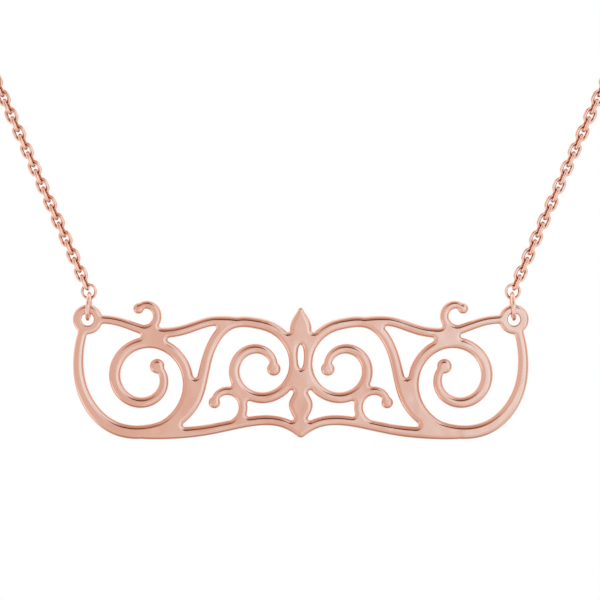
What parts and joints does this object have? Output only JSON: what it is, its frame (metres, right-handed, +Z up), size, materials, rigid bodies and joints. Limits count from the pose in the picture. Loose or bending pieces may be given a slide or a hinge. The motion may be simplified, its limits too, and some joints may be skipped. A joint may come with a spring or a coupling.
{
  "type": "nameplate necklace",
  "caption": "Pierced scroll plate hung by two eyelets from jump rings on a fine cable chain that closes round the neck with a ring clasp.",
  "frame": {"origin": "middle of the clasp, where the chain lies on the nape of the neck", "axes": "+Z up, the wearer faces -Y, +X to the right in a front view"},
  "size_m": [0.1128, 0.1042, 0.1267],
  "materials": {
    "plate_gold": "satin-polished rose gold plating over silver",
    "chain_gold": "bright rose gold plating over silver"
  },
  "bodies": {
    "chain": {"jump_ring_left": "chain_gold", "jump_ring_right": "chain_gold", "end_link_left": "chain_gold", "end_link_right": "chain_gold", "chain_left_front": "chain_gold", "chain_right_front": "chain_gold", "chain_left_back": "chain_gold", "chain_right_back": "chain_gold", "clasp": "chain_gold"},
    "nameplate": {"nameplate": "plate_gold"}
  },
  "joints": [
    {"name": "nameplate_swing", "type": "hinge", "parent": "chain", "child": "nameplate", "pos_m": [0, -0.102, -0.11069], "axis": [1, 0, 0], "range_deg": [-90, 90]}
  ]
}
